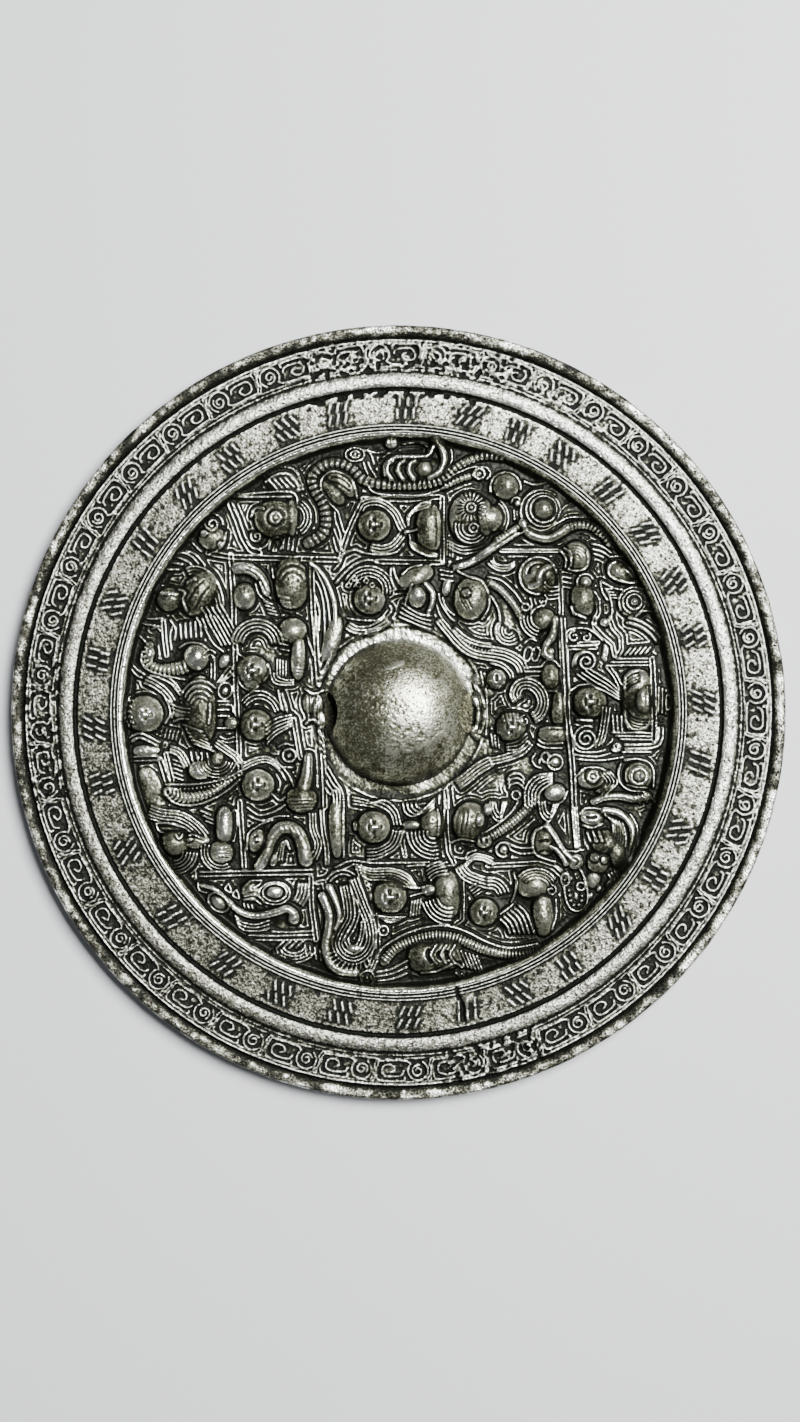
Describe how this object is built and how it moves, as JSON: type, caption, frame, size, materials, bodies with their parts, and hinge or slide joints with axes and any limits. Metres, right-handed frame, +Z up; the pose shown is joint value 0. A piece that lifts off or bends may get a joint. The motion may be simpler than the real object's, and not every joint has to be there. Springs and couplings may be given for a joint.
{
  "type": "bronze mirror",
  "caption": "Round cast bronze mirror: relief field of seated deities and beasts around a pierced domed knob, ringed by an inscription band and a scroll band.",
  "frame": {"origin": "middle of the polished face that the mirror lies on", "axes": "+Z up through the knob, from the polished face to the decorated back; the cord hole runs along X"},
  "size_m": [0.136, 0.136, 0.0118],
  "materials": {
    "bronze": "dark olive patina, worn to grey metal on the high places"
  },
  "bodies": {
    "root": {"bronze_mirror": "bronze"}
  },
  "joints": []
}
